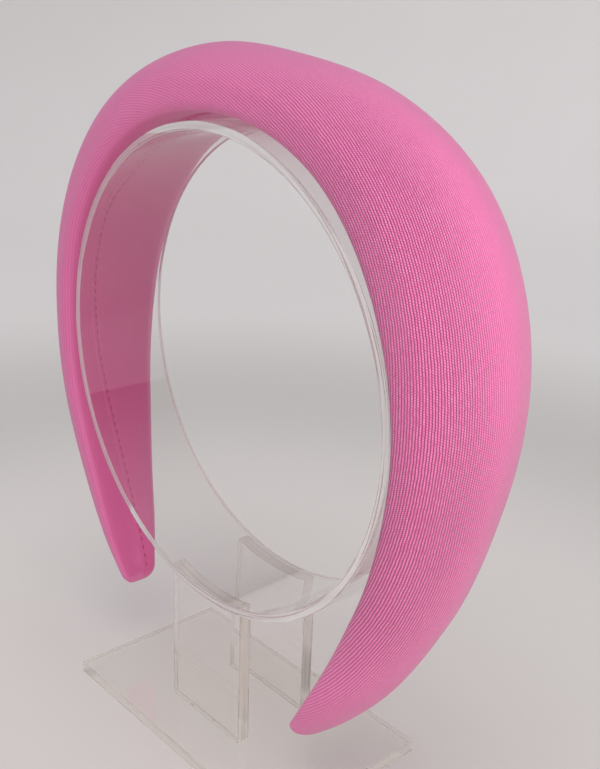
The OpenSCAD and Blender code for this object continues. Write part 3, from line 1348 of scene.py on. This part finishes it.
@dataclass(frozen=True)
class StitchRow:
    """Row of thread stitches that holds the lap down."""

    pitch: float = STITCH_PITCH
    stitch: float = 1.7 * MM
    thread: float = 0.15 * MM
    dip: float = 0.13 * MM
    wander: float = math.radians(5)
    seed: int = 7
    points: int = 9
    sides: int = 8
    # The thread thins towards a stitch's ends by a power of the way there, to a stub
    end_power: float = 4.0
    stub: float = 0.02

    def tree(self) -> bpy.types.NodeTree:
        """Builds the node tree that lays stitches along an edge path.

        Returns:
            The geometry node tree.
        """
        tree = bpy.data.node_groups.new("Stitch row", "GeometryNodeTree")
        tree.interface.new_socket("Geometry", in_out="INPUT", socket_type="NodeSocketGeometry")
        for label in ("Pitch", "Stitch Length", "Thread Radius", "Dip", "Wander"):
            tree.interface.new_socket(label, in_out="INPUT", socket_type="NodeSocketFloat")
        tree.interface.new_socket("Seed", in_out="INPUT", socket_type="NodeSocketInt")
        tree.interface.new_socket("Thread", in_out="INPUT", socket_type="NodeSocketMaterial")
        tree.interface.new_socket("Geometry", in_out="OUTPUT", socket_type="NodeSocketGeometry")
        graph = Graph(tree)
        given = graph.node("NodeGroupInput").outputs
        path = graph.node("GeometryNodeMeshToCurve", {"Mesh": given["Geometry"]})
        dots = graph.node(
            "GeometryNodeCurveToPoints",
            {"Curve": path.outputs[0], "Length": given["Pitch"]},
            mode="LENGTH",
        )
        half = graph.math("MULTIPLY", given["Stitch Length"], 0.5)
        foot = graph.combine(Z=graph.math("MULTIPLY", half, -1.0))
        line = graph.node(
            "GeometryNodeCurvePrimitiveLine", {"Start": foot, "End": graph.combine(Z=half)}
        )
        line = graph.node(
            "GeometryNodeResampleCurve", {"Curve": line.outputs[0], "Count": self.points}
        )
        share = graph.node("GeometryNodeSplineParameter").outputs["Factor"]
        swing = graph.math("MULTIPLY_ADD", share, 2.0, -1.0)
        bow = graph.math("MULTIPLY", swing, swing)
        sink = graph.math("MULTIPLY", graph.math("MULTIPLY", bow, given["Dip"]), -1.0)
        line = graph.node(
            "GeometryNodeSetPosition",
            {"Geometry": line.outputs[0], "Offset": graph.combine(X=sink)},
        )
        blunt = graph.math("SUBTRACT", 1 + self.stub, graph.math("POWER", bow, self.end_power))
        taper = graph.math("SQRT", graph.math("MAXIMUM", blunt, 0.0))
        line = graph.node(
            "GeometryNodeSetCurveRadius", {"Curve": line.outputs[0], "Radius": taper}
        )
        profile = graph.node(
            "GeometryNodeCurvePrimitiveCircle",
            {"Resolution": self.sides, "Radius": given["Thread Radius"]},
        )
        stitch = graph.node(
            "GeometryNodeCurveToMesh",
            {
                "Curve": line.outputs[0],
                "Profile Curve": profile.outputs[0],
                "Scale": taper,
                "Fill Caps": True,
            },
        )
        normal = graph.node(
            "GeometryNodeInputNamedAttribute", {"Name": "surface"}, data_type="FLOAT_VECTOR"
        )
        turned = graph.node(
            "FunctionNodeAlignRotationToVector", {"Vector": dots.outputs["Tangent"]}, axis="Z"
        )
        faced = graph.node(
            "FunctionNodeAlignRotationToVector",
            {"Rotation": turned.outputs[0], "Vector": normal.outputs["Attribute"]},
            axis="X",
            pivot_axis="Z",
        )
        jitter = graph.node(
            "FunctionNodeRandomValue", {"Seed": given["Seed"]}, data_type="FLOAT"
        )
        by_id = {s.identifier: s for s in (*jitter.inputs, *jitter.outputs)}
        graph.feed(by_id["Min_001"], graph.math("MULTIPLY", given["Wander"], -1.0))
        graph.feed(by_id["Max_001"], given["Wander"])
        sway = graph.combine(X=by_id["Value_001"])
        turn = graph.node("FunctionNodeEulerToRotation", {"Euler": sway})
        placed = graph.node(
            "FunctionNodeRotateRotation",
            {"Rotation": faced.outputs[0], "Rotate By": turn.outputs[0]},
            rotation_space="LOCAL",
        )
        row = graph.node(
            "GeometryNodeInstanceOnPoints",
            {
                "Points": dots.outputs["Points"],
                "Instance": stitch.outputs[0],
                "Rotation": placed.outputs[0],
            },
        )
        real = graph.node("GeometryNodeRealizeInstances", {"Geometry": row.outputs[0]})
        smooth = graph.node("GeometryNodeSetShadeSmooth", {"Geometry": real.outputs[0]})
        done = graph.node(
            "GeometryNodeSetMaterial",
            {"Geometry": smooth.outputs[0], "Material": given["Thread"]},
        )
        graph.node("NodeGroupOutput", {"Geometry": done.outputs[0]})
        return tree

    def build(
        self, path: list[Vector], normals: list[Vector], thread: bpy.types.Material
    ) -> bpy.types.Object:
        """Lays the stitches along a path.

        Args:
            path: points that the stitches follow.
            normals: the surface's normal at each point.
            thread: the thread's material.

        Returns:
            The stitches as one plain mesh object.
        """
        mesh = bpy.data.meshes.new("seam_path")
        mesh.from_pydata([tuple(p) for p in path], [(i, i + 1) for i in range(len(path) - 1)], [])
        surface = mesh.attributes.new("surface", "FLOAT_VECTOR", "POINT")
        surface.data.foreach_set("vector", [c for n in normals for c in n])
        values = {
            "Pitch": self.pitch,
            "Stitch Length": self.stitch,
            "Thread Radius": self.thread,
            "Dip": self.dip,
            "Wander": self.wander,
            "Seed": self.seed,
            "Thread": thread,
        }
        return plain_result(add_object("seam_path", mesh), self.tree(), values, "seam_stitches")


def plain_result(
    carrier: bpy.types.Object, tree: bpy.types.NodeTree, values: dict, name: str
) -> bpy.types.Object:
    """Runs a node tree on an object and keeps its result as a plain mesh.

    Args:
        carrier: the object that the tree works on, which is removed.
        tree: the geometry node tree.
        values: the tree's inputs, by name.
        name: the new object's name.

    Returns:
        The new object.
    """
    modifier = carrier.modifiers.new("nodes", "NODES")
    modifier.node_group = tree
    for socket in tree.interface.items_tree:
        if socket.item_type == "SOCKET" and socket.in_out == "INPUT" and socket.name in values:
            modifier[socket.identifier] = values[socket.name]
    depsgraph = bpy.context.evaluated_depsgraph_get()
    mesh = bpy.data.meshes.new_from_object(carrier.evaluated_get(depsgraph))
    mesh.name = name
    carrier.modifiers.remove(modifier)
    bpy.data.objects.remove(carrier)
    return add_object(name, mesh)


class Headband:
    """The headband: its padded cover and its seam."""

    def __init__(self, seat: Seat) -> None:
        """Sets the band's form on its seat."""
        self.band = PaddedBand(BandForm(seat), SeamLine(), WeaveRun(), Padding())
        self.stitches = StitchRow()

    def build(self) -> list[bpy.types.Object]:
        """Builds the cover and the stitches.

        Returns:
            The pieces.
        """
        cover = self.band.build(JerseyFinish().material(knit_group()))
        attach(cover, BODY)
        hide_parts("padded_band")
        stitches = self.stitches.build(
            self.band.stitch_path, self.band.stitch_normals, ThreadFinish().material()
        )
        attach(stitches, BODY)
        return [cover, stitches]


class DisplayStand:
    """The clear stand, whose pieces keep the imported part's meshes."""

    pieces = {
        "display_ring": SawnEdges.RING_ENDS,
        "front_upright": SawnEdges.UPRIGHT_RIMS,
        "back_upright": SawnEdges.UPRIGHT_RIMS,
        "base_plate": SawnEdges.PLATE_RIMS,
    }

    def __init__(self, nodes: dict[str, bpy.types.Object]) -> None:
        """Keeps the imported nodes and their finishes."""
        self.nodes = nodes
        self.sheet = AcrylicFinish()
        # The ring's pinkish edges and lines, stronger on its right, are painted reflection of the
        # band over its saw streaks, rims and chips
        self.tube = AcrylicFinish(
            tint=(0.94, 0.925, 0.92),
            edge_tint=(0.78, 0.745, 0.745),
            line_tint=(0.40, 0.23, 0.25),
            streaks_and_reflection=(0.25, 1.6),
        )

    def dress(self) -> list[bpy.types.Object]:
        """Gives each clear piece its material.

        Returns:
            The dressed nodes.
        """
        marks = SheetMarks().group()
        for name, edges in self.pieces.items():
            node = self.nodes[name]
            shape = SheetShape.of_node(node, edges)
            finish = self.tube if edges is SawnEdges.RING_ENDS else self.sheet
            node.material_slots[0].material = finish.material("clear_" + name, shape, marks)
        return [self.nodes[name] for name in self.pieces]


@dataclass(frozen=True)
class Lamp:
    """One soft square light."""

    name: str
    place: Place
    aim: Place
    size: float
    power: float
    colour: Colour = WARM
    # Whether it lights the object alone, so that it leaves no bright pool on the floor
    close: bool = False

    def light(self) -> None:
        """Hangs the light."""
        data = bpy.data.lights.new(self.name, "AREA")
        data.size = self.size
        data.energy = self.power
        data.color = self.colour
        made = add_object(self.name, data)
        way = Vector(self.aim) - Vector(self.place)
        made.location = self.place
        made.rotation_euler = way.to_track_quat("-Z", "Y").to_euler()
        made.visible_camera = False


@dataclass(frozen=True)
class PhotoCamera:
    """The camera of the photograph, solved from the ring and the base plate."""

    place: Place = (195.1 * MM, -159.85 * MM, 190.84 * MM)
    yaw: float = -0.8317
    pitch: float = 0.3562
    roll: float = 0.038
    focal_px: float = 1084.24
    frame_height_px: float = 769.0
    sensor: float = 36.0

    def build(self) -> None:
        """Makes the scene's camera."""
        forward = Vector(
            (
                math.sin(self.yaw) * math.cos(self.pitch),
                math.cos(self.yaw) * math.cos(self.pitch),
                -math.sin(self.pitch),
            )
        )
        level = Vector((math.cos(self.yaw), -math.sin(self.yaw), 0.0))
        upright = level.cross(forward)
        right = level * math.cos(self.roll) + upright * math.sin(self.roll)
        up = upright * math.cos(self.roll) - level * math.sin(self.roll)
        data = bpy.data.cameras.new("photo_camera")
        data.sensor_width = self.sensor
        data.lens = self.focal_px / self.frame_height_px * self.sensor
        data.clip_start = 0.01
        made = add_object("photo_camera", data)
        turn = Matrix((right, up, -forward)).transposed().to_4x4()
        made.matrix_world = Matrix.Translation(self.place) @ turn
        bpy.context.scene.camera = made


@dataclass(frozen=True)
class Studio:
    """Pale sweep, soft lights and the photograph's camera."""

    floor_gap: float = 0.1 * MM
    inner_radius: float = 0.25
    floor_radius: float = 0.62
    sweep: float = 0.35
    wall: float = 0.36
    sides: int = 96
    sweep_steps: int = 14
    sky: Colour = COOL
    # Light of the room from every side, and how much more comes from some sides
    sky_strength: float = 0.02
    sky_focus: float = 2.0
    sky_sides: tuple = (
        ((0.0, -1.0, 0.0), 1.12),
        ((0.0, 0.0, 1.0), 0.84),
    )
    lamps: tuple = (
        Lamp("close_right", (0.17, -0.04, 0.20), (0.0, 0.0, 0.10), 0.1, 0.112, close=True),
        Lamp("close_low", (0.15, -0.09, 0.075), (0.03, 0.0, 0.07), 0.1, 0.072, close=True),
        Lamp("high_right", (0.40, -0.10, 0.90), (0.0, 0.0, 0.10), 0.5, 0.8),
        Lamp("high_front", (0.20, -0.30, 1.00), (0.0, 0.0, 0.10), 0.8, 1.6),
    )

    def profile(self) -> list[tuple[float, float]]:
        """Outline of the sweep: radius and height, from its middle to its rim."""
        turns = [math.pi / 2 * i / self.sweep_steps for i in range(self.sweep_steps + 1)]
        arc = [
            (self.floor_radius + self.sweep * math.sin(t), self.sweep * (1 - math.cos(t)))
            for t in turns
        ]
        return [(self.inner_radius, 0.0), *arc, (self.floor_radius + self.sweep, self.wall)]

    def build(self) -> None:
        """Builds the sweep, the lights and the camera."""
        work = bmesh.new()
        turns = [2 * math.pi * i / self.sides for i in range(self.sides)]
        rings = []
        for radius, height in self.profile():
            z = height - self.floor_gap
            ring = [(radius * math.cos(t), radius * math.sin(t), z) for t in turns]
            rings.append([work.verts.new(place) for place in ring])
        work.faces.new(rings[0])
        for inner, outer in zip(rings, rings[1:]):
            for i in range(self.sides):
                j = (i + 1) % self.sides
                work.faces.new((inner[i], outer[i], outer[j], inner[j]))
        mesh = bpy.data.meshes.new("sweep")
        work.to_mesh(mesh)
        work.free()
        mesh.shade_smooth()
        mesh.materials.append(PaperFinish().material())
        add_object("sweep", mesh)
        for lamp in self.lamps:
            lamp.light()
        self.light_sky()
        PhotoCamera().build()
        bpy.context.scene.view_settings.view_transform = "Standard"

    def keep_off_floor(self, pieces: Iterable[bpy.types.Object]) -> None:
        """Lets the close lamps light the object's pieces alone."""
        lit = bpy.data.collections.new("lit_closely")
        for piece in pieces:
            lit.objects.link(piece)
        for lamp in self.lamps:
            if lamp.close:
                bpy.data.objects[lamp.name].light_linking.receiver_collection = lit

    def light_sky(self) -> None:
        """Fills the room with soft light, more of it from some sides."""
        world = bpy.data.worlds.new("room")
        world.use_nodes = True
        graph = Graph(world.node_tree)
        way = graph.node("ShaderNodeTexCoord").outputs["Generated"]
        strength = self.sky_strength
        for side, share in self.sky_sides:
            facing = graph.vector("DOT_PRODUCT", way, side).outputs["Value"]
            lobe = graph.math("POWER", graph.math("MAXIMUM", facing, 0.0), self.sky_focus)
            strength = graph.math("MULTIPLY_ADD", lobe, share, strength)
        sky = graph.node("ShaderNodeBackground", {"Color": self.sky, "Strength": strength})
        graph.node("ShaderNodeOutputWorld", {"Surface": sky.outputs[0]})
        bpy.context.scene.world = world


def report(pieces: Iterable[bpy.types.Object]) -> None:
    """Logs each piece and its triangles."""
    for piece in pieces:
        piece.data.calc_loop_triangles()
        log.info("%s: %d triangles", piece.name, len(piece.data.loop_triangles))


def main() -> None:
    """Builds the studio, the headband and the stand."""
    studio = Studio()
    studio.build()
    pieces = Headband(Seat.of_node("display_ring")).build()
    pieces += DisplayStand(frame["nodes"]).dress()
    studio.keep_off_floor(pieces)
    report(pieces)


if __name__ == "__main__":
    logging.basicConfig(level=logging.INFO, format="%(message)s")
    main()
